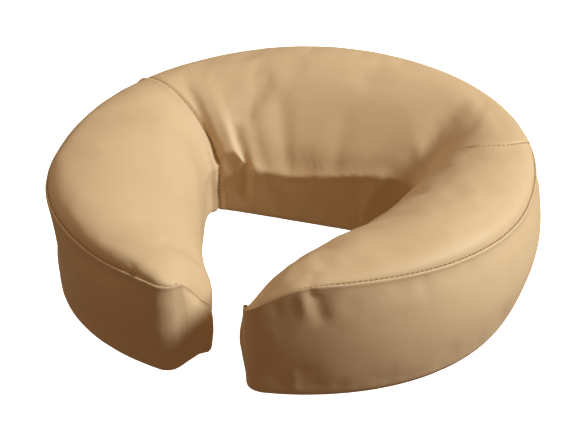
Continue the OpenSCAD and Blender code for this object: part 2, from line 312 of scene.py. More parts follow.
def top_points(lines, a):
    """Row frame points of lines on the top. Each end column is set back so that it meets the end seam."""
    back = SEAM_IN * corner_turn(a, OUTER_CORNER)
    xy = lines[..., :1] * outward(a) - back[:, None] * endward(a)
    return place(xy, lines[..., 1])


# ---------------------------------------------------------------- grids of the cover
TOP_ROWS = 84
WALL_ROWS = 36
BAND_COLUMNS = 430
CORNER_COLUMNS = 14
FACE_COLUMNS = 26
COLUMN_STEP = 0.8
# Columns at each end of the band that are drawn in to close the corner
CLOSE_COLUMNS = 9
# The band bellies out by this much over an end face
FACE_BULGE = 2.8


def panel_angles(start, stop):
    """Angles of one panel's columns, closer together next to its two edges."""
    near = np.array([0, 0.2, 0.45, 0.75, 1.1, 1.55])
    edge = 2.1
    middle = np.linspace(start + edge, stop - edge, max(3, round((stop - start - 2 * edge) / COLUMN_STEP)))
    return np.concatenate([start + near, middle, stop - near[::-1]])


def crowded(rows, first, share):
    """Shares of a line's length with a part of the rows packed into its first stretch."""
    n = round(rows * share)
    return np.concatenate([first * (np.arange(n) / n) ** 1.3, np.linspace(first, 1, rows - n)])


PANELS = {
    "left_cheek": (-TIP_ANGLE, LEFT_SEAM),
    "crown": (LEFT_SEAM, RIGHT_SEAM),
    "right_cheek": (RIGHT_SEAM, TIP_ANGLE),
}
TOP_SHARE = crowded(TOP_ROWS, 0.05, 0.14)
WALL_SHARE = 1 - crowded(WALL_ROWS, 0.12, 0.33)[::-1]


def surface_normals(p):
    """Unit normals of a grid of points, which point out of the cushion on every grid of the cover."""
    du = np.gradient(p, axis=0)
    dv = np.gradient(p, axis=1)
    n = np.cross(du, dv)
    return n / np.maximum(np.linalg.norm(n, axis=-1, keepdims=True), 1e-12)


def bell(x, centre, width):
    return np.exp(-(((x - centre) / width) ** 2))


def face_stations(side):
    """Plan points, outward directions and profile values of the band over one tip, from the outer corner's
    end to the inner corner's seam."""
    a = np.array([side * TIP_ANGLE])
    out, end = outward(a)[0], endward(a)[0]
    ro, ri = outer_radius(a)[0], inner_radius(a)[0]
    rs = ro - OUTER_CORNER
    rim = rim_height(a)[0]
    t = np.linspace(0, 1, FACE_COLUMNS)[1:]
    r = rs + (ri + INNER_CORNER - rs) * t
    turn = np.radians(np.array([15, 30, 45, 60]))
    plan = r[:, None] * out
    centre = (ri + INNER_CORNER) * out - INNER_CORNER * end
    round_corner = np.cos(turn)[:, None] * end - np.sin(turn)[:, None] * out
    face = np.concatenate([np.repeat(end[None], len(t), 0), round_corner])
    plan = np.concatenate([plan, centre + INNER_CORNER * face[len(t):]])
    share = unit((rs - plan @ out) / (rs - ri))
    deep = through(SEAM_DEPTH, a)[0] * (1 - 0.5 * share)
    height = end_seam_height(share, rim - deep) + deep
    along = np.concatenate([t * 0.9, 0.9 + 0.1 * np.arange(1, 5) / 4])
    bulge = 1 + FACE_BULGE * np.sin(np.pi * along) ** 0.8
    sink = np.concatenate([0 * t, [0, 0, 0.5, 1.8]])
    return plan, face, height, -sink, bulge - sink, through(FOOT, a)[0] - sink, deep


def band_stations():
    """Every column of the band: plan point, outward direction and the values of its profile."""
    corner = np.linspace(TIP_ANGLE - math.degrees(OUTER_CORNER / CORNER_RADIUS), TIP_ANGLE, CORNER_COLUMNS)
    main = np.linspace(-corner[0], corner[0], BAND_COLUMNS)
    a = np.concatenate([-corner[:0:-1], main, corner[1:]])
    sine = corner_turn(a, OUTER_CORNER)
    cosine = np.sqrt(1 - sine**2)
    plan = (outer_radius(a) - OUTER_CORNER * (1 - cosine))[:, None] * outward(a)
    face = cosine[:, None] * outward(a) + sine[:, None] * endward(a)
    parts = [plan, face, rim_height(a), through(LEAN, a), through(BULGE, a), through(FOOT, a),
             through(SEAM_DEPTH, a)]
    left, right = face_stations(-1), face_stations(1)
    return [np.concatenate([low[::-1], middle, high]) for low, middle, high in zip(left, parts, right)]


def band_points():
    """Row frame points of the band, rows from the hem up to the rim seam, and the angle of each column."""
    plan, face, *profile = band_stations()
    lines = even(wall_profile(*profile), WALL_SHARE)
    points = place(plan + lines[..., :1] * face, lines[..., 1])
    return points, np.degrees(np.arctan2(plan[:, 0], plan[:, 1]))


# ---------------------------------------------------------------- mesh helpers
def mesh_object(name, points, faces):
    """A smooth-shaded object from points and faces."""
    mesh = bpy.data.meshes.new(name)
    mesh.from_pydata([tuple(p) for p in points], [], faces)
    mesh.validate()
    mesh.polygons.foreach_set("use_smooth", [True] * len(mesh.polygons))
    obj = bpy.data.objects.new(name, mesh)
    bpy.context.scene.collection.objects.link(obj)
    return obj


def grid_faces(rows, cols, flip=False, start=0):
    """Quads between the points of a grid that is stored row by row."""
    i, j = np.meshgrid(np.arange(rows - 1), np.arange(cols - 1), indexing="ij")
    a = (start + i * cols + j).ravel()
    quad = [a, a + cols, a + cols + 1, a + 1]
    return np.stack(quad[::-1] if flip else quad, -1).tolist()


def slab_faces(rows, cols):
    """Faces of a slab whose upper grid comes first and whose lower grid follows it."""
    n = rows * cols
    faces = grid_faces(rows, cols) + grid_faces(rows, cols, flip=True, start=n)
    edge = list(range(cols))
    edge += [i * cols + cols - 1 for i in range(1, rows)]
    edge += [(rows - 1) * cols + j for j in range(cols - 2, -1, -1)]
    edge += [i * cols for i in range(rows - 2, 0, -1)]
    following = edge[1:] + edge[:1]
    faces += [(here, after, n + after, n + here) for here, after in zip(edge, following)]
    return faces


def apply_modifiers(obj):
    """Keep the mesh that the modifiers make, and drop the modifiers."""
    graph = bpy.context.evaluated_depsgraph_get()
    mesh = bpy.data.meshes.new_from_object(obj.evaluated_get(graph))
    obj.modifiers.clear()
    old = obj.data
    obj.data = mesh
    bpy.data.meshes.remove(old)


def thicken(obj):
    """Give a sheet the cover's thickness, inwards."""
    solid = obj.modifiers.new("thickness", "SOLIDIFY")
    solid.thickness = SKIN * MM
    solid.offset = -1
    solid.use_quality_normals = True
    apply_modifiers(obj)


def tidy_mesh(obj, weld):
    """Weld near points and make every face look outwards."""
    bm = bmesh.new()
    bm.from_mesh(obj.data)
    bmesh.ops.remove_doubles(bm, verts=bm.verts, dist=weld * MM)
    bmesh.ops.recalc_face_normals(bm, faces=bm.faces)
    bm.to_mesh(obj.data)
    bm.free()


def ring_solid(name, inset, low, high, end, step):
    """Closed solid that follows the cover at a distance inside it, cut between two heights."""
    a = np.linspace(-end, end, round(2 * end / step))
    wall = wall_profile(rim_height(a), *(through(knots, a) for knots in (LEAN, BULGE, FOOT, SEAM_DEPTH)))
    cosine = np.sqrt(1 - corner_turn(a, OUTER_CORNER) ** 2)
    wall[..., 0] += outer_radius(a) - OUTER_CORNER * (1 - cosine)
    ring = np.concatenate([wall, top_lines(a)[1:]])
    middle = ring.mean(0, keepdims=True)
    away = ring - middle
    reach = np.linalg.norm(away, axis=-1, keepdims=True)
    ring = middle + away * (reach - inset) / reach
    # Whatever lies beyond a cut drops onto it, no further out than the wall is at that height
    low, high = COVER_Z + low, COVER_Z + high
    rise = ring[: len(wall) - 3]
    for level, beyond in ((low, ring[..., 1] < low), (high, ring[..., 1] > high)):
        edge = np.array([np.interp(level, rise[:, j, 1], rise[:, j, 0]) for j in range(len(a))])
        ring[..., 0] = np.where(beyond, np.minimum(ring[..., 0], edge), ring[..., 0])
    ring[..., 1] = np.clip(ring[..., 1], low, high)
    p = place(ring[..., :1] * outward(a), ring[..., 1])
    rows, cols = p.shape[:2]
    verts = np.concatenate([p.reshape(-1, 3), [p[:, 0].mean(0), p[:, -1].mean(0)]])
    faces = grid_faces(rows, cols, flip=True)
    faces += [(j, j + 1, (rows - 1) * cols + j + 1, (rows - 1) * cols + j) for j in range(cols - 1)]
    for j, tip in ((0, rows * cols), (cols - 1, rows * cols + 1)):
        loop = [i * cols + j for i in range(rows)]
        faces += [(loop[i], loop[(i + 1) % rows], tip) for i in range(rows)]
    obj = mesh_object(name, verts, faces)
    tidy_mesh(obj, 0.05)
    return obj


# ---------------------------------------------------------------- cloth simulation
CLOTH_VOXEL = 5.0
CLOTH_PRESSURE = 4.0
CLOTH_CAP = 4.0
CLOTH_SHARE = 0.45
CLOTH_FRAMES = 20
CLOTH_MASS = 0.3
CLOTH_STIFFNESS = 15
CLOTH_BENDING = 0.4
CLOTH_SHRINK = -0.02
# Cloth this near to a seam, or this far over the underside, stays put
HELD_REACH = 4.5
HELD_Z = 2.0
# The cover follows this many cloth points, blurred over BLUR, and comes to rest within FADE of a seam
NEAR_POINTS = 8
BLUR = 2.0
FADE = 14.0


def seam_points():
    """Row frame points along every seam of the cover, closer together than the cloth's mesh."""
    band, _ = band_points()
    lines = [band[-1], band[:, 0], band[:, -1]]
    for seam in (LEFT_SEAM, RIGHT_SEAM):
        a = np.array([seam])
        lines.append(top_points(top_lines(a), a)[:, 0])
    return np.concatenate(lines)


def tree_of(points):
    tree = kdtree.KDTree(len(points))
    for i, p in enumerate(points):
        tree.insert(p, i)
    tree.balance()
    return tree


def simulate_cover():
    """Blow the cover up as cloth that its seams hold. Returns where its points were, how far each moved,
    and the seams."""
    body = ring_solid("cloth_body", 0.8, 0, 200, TIP_ANGLE - 0.5, 1.0)
    remesh = body.modifiers.new("remesh", "REMESH")
    remesh.mode = "VOXEL"
    remesh.voxel_size = CLOTH_VOXEL * MM
    apply_modifiers(body)
    rest = np.array([v.co for v in body.data.vertices])
    seams = tree_of(seam_points())
    low = (COVER_Z + HELD_Z) * MM
    held = [i for i, p in enumerate(rest) if seams.find(p)[2] < HELD_REACH * MM or p[2] < low]
    group = body.vertex_groups.new(name="held")
    group.add(held, 1.0, "REPLACE")
    cloth = body.modifiers.new("cloth", "CLOTH")
    settings = cloth.settings
    settings.vertex_group_mass = "held"
    settings.use_pressure = True
    settings.uniform_pressure_force = CLOTH_PRESSURE
    settings.effector_weights.gravity = 0
    settings.shrink_min = CLOTH_SHRINK
    settings.quality = 6
    settings.mass = CLOTH_MASS
    settings.tension_stiffness = CLOTH_STIFFNESS
    settings.compression_stiffness = CLOTH_STIFFNESS
    settings.bending_stiffness = CLOTH_BENDING
    cloth.point_cache.frame_end = CLOTH_FRAMES
    scene = bpy.context.scene
    for step in range(1, CLOTH_FRAMES + 1):
        scene.frame_set(step)
    apply_modifiers(body)
    moved = np.array([v.co for v in body.data.vertices]) - rest
    scene.frame_set(1)
    bpy.data.objects.remove(body)
    far = np.linalg.norm(moved, axis=-1, keepdims=True)
    return rest, moved * np.minimum(1, CLOTH_CAP * MM / np.maximum(far, 1e-9)), seams


def swell(points, cloth):
    """Points of a cover grid moved as the cloth near them moved, and left where they are at the seams."""
    if cloth is None:
        return points
    tree, moved, seams = cloth
    flat = points.reshape(-1, 3)
    out = np.empty_like(flat)
    for k, p in enumerate(flat):
        near = tree.find_n(p, NEAR_POINTS)
        weight = np.array([1 / (d * d + (BLUR * MM) ** 2) for _, _, d in near])
        shift = weight @ moved[[i for _, i, _ in near]] / weight.sum()
        out[k] = p + CLOTH_SHARE * shift * smooth(seams.find(p)[2] / (FADE * MM))
    return out.reshape(points.shape)


cloth = None
cloth_rest, cloth_moved, seam_tree = simulate_cover()
cloth = (tree_of(cloth_rest), cloth_moved, seam_tree)


# ---------------------------------------------------------------- folds and seams of the top
# Ridges, and valleys where the height is below 0: two ends as (angle, share of the line), width and height
TOP_FOLDS = {
    "left_cheek": [((-160.6, 0.0), (-159.4, 0.06), 2.6, -0.6), ((-60.6, 0.80), (-60.2, 1.0), 2.0, -0.7),
                   ((-74, 0.35), (-118, 0.60), 9.0, 0.6), ((-80, 0.62), (-128, 0.80), 8.0, 0.5),
                   ((-130, 0.10), (-146, 0.30), 7.0, 0.4)],
    "crown": [((-40.5, 0.50), (-39.5, 0.80), 8.0, 1.9), ((-45.3, 0.66), (-45.5, 0.92), 4.2, -2.0),
              ((-22, 0.40), (-20, 0.76), 8.0, -1.1), ((-31, 0.42), (-30, 0.76), 7.0, 0.4),
              ((42, 0.66), (33, 0.93), 6.0, 1.3), ((-54.6, 0.80), (-55.0, 1.0), 2.0, -0.7),
              ((8, 0.45), (14, 0.76), 10.0, -0.6)],
    "right_cheek": [((157.5, 0.0), (155.5, 0.10), 2.6, -0.6), ((90, 0.30), (120, 0.52), 9.0, 0.5)],
}
WALL_FOLDS = [((159.2, 0.95), (158.0, 0.76), 3.0, 0.9), ((156.0, 0.92), (154.2, 0.70), 4.2, -1.1),
              ((157.4, 0.99), (156.6, 0.88), 2.0, -0.6), ((152.5, 0.90), (139, 0.90), 4.6, 0.6),
              ((160.6, 0.30), (160.2, 0.08), 2.6, 0.7), ((133, 0.96), (131.5, 0.78), 3.5, -0.4),
              ((121, 0.96), (120.5, 0.82), 3.2, -0.3), ((165, 0.96), (164.0, 0.80), 2.6, -0.4),
              ((-160.8, 1.0), (-160.2, 0.90), 2.2, -0.6), ((-162.8, 0.98), (-162.2, 0.90), 2.2, 0.4),
              ((-134, 0.97), (-132.5, 0.84), 3.2, -0.35), ((-112, 0.97), (-111.5, 0.85), 3.2, -0.35)]


# The radius and the line's length at which angles and shares become distances for the folds
TOP_SCALE = (100, 140)
WALL_SCALE = (141, 75)
# Each radial seam: the side its cheek is on, how deep the seam sinks and how proud the cheek stands
SEAM_RELIEF = ((LEFT_SEAM, -1, 1.5, 1.1), (RIGHT_SEAM, 1, 1.1, 0.5))
SEAM_W = 1.3
PROUD_AT = 3.0
PROUD_W = 2.4


def fold(a, s, start, end, width, high, scale):
    """Height of a ridge that runs between two (angle, share) points and fades out at both ends."""
    radius, length = scale
    x, y = np.radians(a) * radius, s * length
    x0, y0 = math.radians(start[0]) * radius, start[1] * length
    dx, dy = math.radians(end[0]) * radius - x0, end[1] * length - y0
    run = math.hypot(dx, dy)
    along = ((x - x0) * dx + (y - y0) * dy) / run**2
    across = ((x - x0) * dy - (y - y0) * dx) / run
    fade = smooth(along / 0.3 + 0.35) * smooth((1 - along) / 0.3 + 0.35)
    return high * np.exp(-((across / width) ** 2)) * fade


def top_relief(panel, a, s, r):
    """Millimetres that the top stands off its smooth form, at angle a, share s of its line and radius r."""
    high = 0 * a
    for seam, side, deep, proud in SEAM_RELIEF:
        gap = np.abs(np.radians(a - seam)) * r
        cheek = (a - seam) * side > 0 if panel != "crown" else np.zeros_like(a, bool)
        high = high - deep * bell(gap, 0, SEAM_W) + np.where(cheek, proud * bell(gap, PROUD_AT, PROUD_W), 0)
    for start, end, width, height in TOP_FOLDS[panel]:
        high = high + fold(a, s, start, end, width, height, TOP_SCALE)
    return high


def wall_relief(a, s):
    """Millimetres that the band stands off its smooth form."""
    high = 0 * a
    for start, end, width, height in WALL_FOLDS:
        high = high + fold(a, s, start, end, width, height, WALL_SCALE)
    return high


# The whole top as one fine grid, from which each panel takes its part
ALL_ANGLES = np.unique(np.concatenate([np.linspace(-TIP_ANGLE, TIP_ANGLE, 900),
                                       *(panel_angles(*ends) for ends in PANELS.values())]))
ALL_TOP = top_points(even(top_lines(ALL_ANGLES), TOP_SHARE), ALL_ANGLES)


def top_grid(panel):
    """Row frame points of one panel of the top, rows from the rim seam to the inner foot."""
    a = panel_angles(*PANELS[panel])
    angle, share = np.broadcast_arrays(a[None], TOP_SHARE[:, None])
    at = np.clip(angle + stray(angle, share), -TIP_ANGLE, TIP_ANGLE)
    p = np.stack([[np.interp(at[i], ALL_ANGLES, ALL_TOP[i, :, c]) for i in range(TOP_ROWS)]
                  for c in range(3)], -1)
    radius = np.hypot(p[..., 0], p[..., 1]) / MM
    p[1:] = swell(p[1:], cloth)
    relief = top_relief(panel, angle, share, radius)
    relief[0] = 0
    return p + surface_normals(p) * relief[..., None] * MM


def meet_cheeks(p):
    """Bring the band's two ends onto the cheek panels' ends, and the columns beside them part way."""
    for column, step, panel in ((0, 1, "left_cheek"), (-1, -1, "right_cheek")):
        edge = top_grids[panel][::-1, column]
        meet = np.stack([np.interp(p[:, column, 2], edge[:, 2], edge[:, c]) for c in (0, 1)], -1)
        shift = meet - p[:, column, :2]
        for k in range(CLOSE_COLUMNS):
            p[:, column + step * k, :2] += shift * smooth(1 - k / CLOSE_COLUMNS)


def band_grid():
    """Row frame points of the side band."""
    p, a = band_points()
    p[1:-1] = swell(p[1:-1], cloth)
    meet_cheeks(p)
    angle, share = np.broadcast_arrays(a[None], WALL_SHARE[:, None])
    return p + surface_normals(p) * (wall_relief(angle, share) * MM)[..., None]


def cover_piece(name, points):
    piece = mesh_object(name, points.reshape(-1, 3), grid_faces(*points.shape[:2]))
    thicken(piece)
    return piece


top_grids = {panel: top_grid(panel) for panel in PANELS}
band = band_grid()
pieces = {f"cover_{panel}": cover_piece(f"cover_{panel}", points) for panel, points in top_grids.items()}
pieces["cover_side_band"] = cover_piece("cover_side_band", band)


# ---------------------------------------------------------------- materials
class Nodes:
    """Short calls for building one material's nodes."""

    def __init__(self, name):
        self.material = bpy.data.materials.new(name)
        self.material.use_nodes = True
        self.tree = self.material.node_tree
        self.shader = self.tree.nodes["Principled BSDF"]
        self.where = self.add("ShaderNodeTexCoord").outputs["Object"]

    def add(self, kind, inputs=None, **settings):
        node = self.tree.nodes.new(kind)
        for key, value in settings.items():
            setattr(node, key, value)
        for key, value in (inputs or {}).items():
            socket = node.inputs[key]
            if isinstance(value, bpy.types.NodeSocket):
                self.tree.links.new(value, socket)
            else:
                socket.default_value = value
        return node

    def link(self, output, key):
        self.tree.links.new(output, self.shader.inputs[key])

    def noise(self, scale, detail=2.0, rough=0.5):
        inputs = {"Vector": self.where, "Scale": scale, "Detail": detail, "Roughness": rough}
        return self.add("ShaderNodeTexNoise", inputs).outputs["Fac"]

    def cells(self, scale, **settings):
        inputs = {"Vector": self.where, "Scale": scale}
        return self.add("ShaderNodeTexVoronoi", inputs, **settings).outputs["Distance"]

    def wave(self, scale, direction="X", warp=0.0):
        inputs = {"Vector": self.where, "Scale": scale, "Distortion": warp}
        return self.add("ShaderNodeTexWave", inputs, bands_direction=direction).outputs["Fac"]

    def math(self, kind, a, b):
        return self.add("ShaderNodeMath", {0: a, 1: b}, operation=kind).outputs["Value"]

    def ramp(self, value, stops):
        node = self.add("ShaderNodeValToRGB", {"Fac": value})
        for i, (where, colour) in enumerate(stops):
            stop = node.color_ramp.elements[i] if i < 2 else node.color_ramp.elements.new(where)
            stop.position = where
            stop.color = (*colour, 1)
        return node.outputs["Color"]

    def span(self, value, low, high):
        inputs = {"Value": value, "To Min": low, "To Max": high}
        return self.add("ShaderNodeMapRange", inputs).outputs["Result"]

    def bump(self, height, strength, distance, normal=None):
        inputs = {"Height": height, "Strength": strength, "Distance": distance * MM}
        if normal:
            inputs["Normal"] = normal
        return self.add("ShaderNodeBump", inputs).outputs["Normal"]


def faux_leather():
    """Smooth cream leather with a fine grain."""
    m = Nodes("cream_faux_leather")
    tone = m.noise(9.0, 3.0)
    m.link(m.ramp(tone, [(0.3, (0.60, 0.435, 0.262)), (0.7, (0.64, 0.465, 0.283))]), "Base Color")
    fine = m.bump(m.cells(900.0), 0.12, 0.2)
    m.link(m.bump(m.noise(160.0, 3.0), 0.15, 0.4, fine), "Normal")
    m.link(m.span(m.noise(60.0, 3.0), 0.50, 0.62), "Roughness")
    m.shader.inputs["Specular IOR Level"].default_value = 0.3
    m.shader.inputs["Sheen Weight"].default_value = 0.04
    m.shader.inputs["Sheen Roughness"].default_value = 0.5
    return m.material


def woven(name, dark, light, threads, depth):
    """Plain weave: two crossed sets of threads, whose scale is threads."""
    m = Nodes(name)
    across, along = m.wave(threads, "X", 0.3), m.wave(threads, "Y", 0.3)
    height = m.math("MAXIMUM", across, along)
    mixed = m.math("MULTIPLY", height, m.span(m.noise(300.0), 0.7, 1.0))
    m.link(m.ramp(mixed, [(0.25, dark), (0.95, light)]), "Base Color")
    m.link(m.bump(height, 0.7, depth), "Normal")
    m.link(m.span(m.noise(80.0), 0.80, 0.90), "Roughness")
    m.shader.inputs["Sheen Weight"].default_value = 0.2
    return m.material


def foam(name, dark, light, pores):
    """Open-cell foam, whose cells have the scale pores."""
    m = Nodes(name)
    cell = m.cells(pores, feature="DISTANCE_TO_EDGE")
    m.link(m.ramp(m.math("ADD", m.math("MULTIPLY", cell, 1.2), m.span(m.noise(14.0), 0.0, 0.4)),
                  [(0.1, dark), (0.8, light)]), "Base Color")
    m.link(m.bump(cell, 0.8, 0.5), "Normal")
    m.link(m.span(m.noise(120.0), 0.88, 0.98), "Roughness")
    return m.material


def sewing_thread():
    """Brown bonded thread, in plies."""
    m = Nodes("bonded_thread")
    ply = m.wave(900.0, "DIAGONAL", 1.0)
    m.link(m.ramp(ply, [(0.1, (0.20, 0.115, 0.045)), (0.9, (0.36, 0.225, 0.105))]), "Base Color")
    m.link(m.bump(ply, 0.6, 0.1), "Normal")
    m.link(m.span(m.noise(400.0), 0.45, 0.6), "Roughness")
    m.shader.inputs["Sheen Weight"].default_value = 0.15
    return m.material


def loop_pile():
    """Fuzzy pale loops."""
    m = Nodes("loop_pile")
    fuzz = m.noise(1500.0, 4.0, 0.7)
    m.link(m.ramp(m.math("ADD", m.math("MULTIPLY", fuzz, 0.8), m.span(m.noise(90.0), 0.0, 0.3)),
                  [(0.25, (0.42, 0.33, 0.21)), (0.75, (0.66, 0.56, 0.41))]), "Base Color")
    m.link(m.bump(fuzz, 1.0, 0.8), "Normal")
    m.link(m.span(m.noise(200.0), 0.9, 1.0), "Roughness")
    m.shader.inputs["Sheen Weight"].default_value = 0.5
    return m.material


def zip_ribbon():
    """Ribbed tape of the zip."""
    m = Nodes("zip_ribbon")
    ribs = m.wave(520.0, "X", 0.4)
    m.link(m.ramp(m.math("MULTIPLY", ribs, m.span(m.noise(700.0), 0.7, 1.0)),
                  [(0.1, (0.33, 0.235, 0.13)), (0.8, (0.50, 0.375, 0.225))]), "Base Color")
    m.link(m.bump(ribs, 0.6, 0.2), "Normal")
    m.link(m.span(m.noise(150.0), 0.75, 0.88), "Roughness")
    return m.material


def nylon_coil():
    """Half-gloss nylon."""
    m = Nodes("nylon_coil")
    tone = m.noise(240.0, 3.0)
    m.link(m.ramp(tone, [(0.3, (0.53, 0.43, 0.29)), (0.7, (0.62, 0.51, 0.35))]), "Base Color")
    m.link(m.bump(m.noise(2200.0, 2.0), 0.2, 0.05), "Normal")
    m.link(m.span(m.noise(500.0), 0.32, 0.44), "Roughness")
    return m.material


def die_cast_brass():
    """Worn yellow brass."""
    m = Nodes("die_cast_brass")
    wear = m.noise(420.0, 5.0, 0.6)
    m.link(m.ramp(wear, [(0.3, (0.50, 0.33, 0.12)), (0.7, (0.72, 0.53, 0.25))]), "Base Color")
    m.link(m.bump(m.noise(1600.0, 3.0), 0.25, 0.05), "Normal")
    m.link(m.span(wear, 0.22, 0.42), "Roughness")
    m.shader.inputs["Metallic"].default_value = 1.0
    return m.material


MATERIALS = {
    "cover": faux_leather(),
    "underside": woven("backing_cloth", (0.30, 0.21, 0.115), (0.46, 0.34, 0.20), 1500.0, 0.15),
    "base_foam": foam("firm_foam", (0.55, 0.50, 0.36), (0.80, 0.76, 0.60), 700.0),
    "comfort_foam": foam("soft_foam", (0.68, 0.58, 0.36), (0.90, 0.82, 0.58), 1100.0),
    "thread": sewing_thread(),
    "loop_tape": loop_pile(),
    "zip_tape": zip_ribbon(),
    "zip_coil": nylon_coil(),
    "zip_metal": die_cast_brass(),
}


def finish_piece(obj, slot, *nodes, body="cushion"):
    """Give a piece its material and slot, its body, and the CAD nodes that it stands for."""
    obj.data.materials.clear()
    obj.data.materials.append(MATERIALS[slot])
    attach(obj, body)
    if nodes:
        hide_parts(*nodes)


finish_piece(pieces["cover_left_cheek"], "cover", "left_cheek_panel")
finish_piece(pieces["cover_crown"], "cover", "crown_panel")
finish_piece(pieces["cover_right_cheek"], "cover", "right_cheek_panel")
finish_piece(pieces["cover_side_band"], "cover", "outer_side_band")

# ---------------------------------------------------------------- foams
FOAM_IN = 5.0
FOAM_END = TIP_ANGLE - 2.6
FOAM_STEP = 2.3
# A cut above the whole cushion takes nothing away
NO_CUT = 200.0
for name, node, low, high, fill in (("foam_base", "base_foam", 2.0, SPLIT_H, 1.0),
                                    ("foam_comfort", "comfort_foam", SPLIT_H + 0.3, NO_CUT, 0.95)):
    block = ring_solid(name, FOAM_IN, low, high, FOAM_END, FOAM_STEP)
    finish_piece(block, node, node)


# ---------------------------------------------------------------- stitches
STITCH_PITCH = 3.0
STITCH_LENGTH = 2.3
STITCH_DIP = 0.55
STITCH_SIDES = 6
STITCH_RINGS = 6


def stitch_row(name, path, up, nodes, thick=0.7, lift=0.25):
    """Lockstitches along a path, each a short thread that dips into the cloth at both ends."""
    step = np.linalg.norm(np.diff(path, axis=0), axis=1)
    s = np.concatenate([[0], np.cumsum(step)]) / MM
    count = int(s[-1] // STITCH_PITCH)
    verts, faces = [], []
    sides, rings = STITCH_SIDES, STITCH_RINGS
    for k in range(count):
        base = (k + 0.5) * s[-1] / count
        start = k * sides * rings
        at = base + np.linspace(-0.5, 0.5, rings) * STITCH_LENGTH
        centre = np.stack([np.interp(at, s, path[:, c]) for c in range(3)], -1)
        top = np.stack([np.interp(at, s, up[:, c]) for c in range(3)], -1)
        top /= np.linalg.norm(top, axis=1, keepdims=True)
        along = centre[-1] - centre[0]
        along = along / np.linalg.norm(along)
        side = np.cross(along, top)
        t = np.linspace(-1, 1, rings)
        centre = centre + top * ((lift - STITCH_DIP * t**4) * MM)[:, None]
        size = 0.5 * thick * MM * np.sqrt(np.maximum(1 - 0.75 * t**4, 0.05))
        turn = np.linspace(0, 2 * np.pi, sides, endpoint=False)[:, None]
        for i in range(rings):
            verts.append(centre[i] + size[i] * (np.cos(turn) * side[i] + np.sin(turn) * top[i]))
        for i in range(rings - 1):
            for j in range(sides):
                a, b = start + i * sides + j, start + i * sides + (j + 1) % sides
                faces.append((a, b, b + sides, a + sides))
        faces.append(tuple(range(start + sides - 1, start - 1, -1)))
        faces.append(tuple(range(start + (rings - 1) * sides, start + rings * sides)))
    obj = mesh_object(name, np.concatenate(verts), faces)
    tidy_mesh(obj, 0.001)
    finish_piece(obj, "thread", *nodes)


def outward_up(path, share_up):
    """Directions part way between straight up and away from the ring's middle line."""
    flat = path.copy()
    flat[:, 2] = 0
    flat /= np.linalg.norm(flat, axis=1, keepdims=True)
    return flat * (1 - share_up) + np.array([0, 0, share_up])


rim_path = band[-1]
stitch_row("rim_stitches", rim_path, outward_up(rim_path, 0.7), ["rim_seam_thread"], lift=0.6)
# The radial rows stop short of the rim and of the foot, and stand off the crown's surface beside the seam
SEWN_ROWS = slice(2, -6)
for side, column, beside in (("left", -1, 6), ("right", 0, -7)):
    path = top_grids[f"{side}_cheek"][SEWN_ROWS, column]
    high = surface_normals(top_grids["crown"])[SEWN_ROWS, beside]
    stitch_row(f"radial_stitches_{side}", path, high, [f"radial_thread_{side}"], lift=0.3)


# ---------------------------------------------------------------- underside
ZIP_HALF = 70.0
ZIP_Y = 113.0
SLIT_HALF_W = 5.0
SLIT_DEPTH = 20.0
# The backing cloth runs this far past the hem's edge and the inner foot's
HEM_LAP = 1.8
FOOT_IN = 2.4
SHEET_ROWS = 26
SHEET_COLUMNS = 260
BOX_FACES = [(0, 1, 3, 2), (4, 6, 7, 5), (0, 4, 5, 1), (2, 3, 7, 6), (0, 2, 6, 4), (1, 5, 7, 3)]


def bottom_sheet():
    """The backing cloth between the band's hem and the inner foot, with the zip's slit cut out."""
    a = np.linspace(-TIP_ANGLE, TIP_ANGLE, SHEET_COLUMNS)
    sine = corner_turn(a, OUTER_CORNER)
    cosine = np.sqrt(1 - sine**2)
    ro = outer_radius(a) - OUTER_CORNER * (1 - cosine) - (HEM_IN - HEM_LAP - through(FOOT, a)) * cosine
    ri = inner_radius(a) + FOOT_IN
    back = HEM_IN * sine
    share = np.linspace(0, 1, SHEET_ROWS)[:, None]
    r = ro + (ri - ro) * share
    xy = r[..., None] * outward(a) - back[:, None] * endward(a)
    points = place(xy, COVER_Z + SKIN).reshape(-1, 3)
    obj = mesh_object("backing_panel", points, grid_faces(SHEET_ROWS, SHEET_COLUMNS, flip=True))
    thicken(obj)
    centre = place([0, ZIP_Y], COVER_Z)
    size = place([ZIP_HALF, SLIT_HALF_W + MIDDLE_Y], SLIT_DEPTH)
    corners = [centre + size * np.array([i, j, k]) for i in (-1, 1) for j in (-1, 1) for k in (-1, 1)]
    cutter = mesh_object("slit_cutter", corners, BOX_FACES)
    cut = obj.modifiers.new("slit", "BOOLEAN")
    cut.object = cutter
    cut.solver = "EXACT"
    apply_modifiers(obj)
    bpy.data.objects.remove(cutter)
    obj.data.polygons.foreach_set("use_smooth", [False] * len(obj.data.polygons))
    return obj


def downward(path):
    return np.tile([0.0, 0.0, -1.0], (len(path), 1))


finish_piece(bottom_sheet(), "underside", "bottom_panel")
HEM_STITCH_IN = HEM_IN + 3.0
HEM_END = TIP_ANGLE - 6.0
ring = np.linspace(-HEM_END, HEM_END, 400)
hem = (outer_radius(ring) + through(FOOT, ring) - HEM_STITCH_IN)[:, None] * outward(ring)
hem_path = place(hem, COVER_Z + SKIN)
stitch_row("hem_stitches", hem_path, downward(hem_path), ["bottom_seam_thread"], lift=0.2)

PILE_SEED = 11
PILE_STEP = 0.8
SELVEDGE = 1.8
SELVEDGE_Z = 1.3


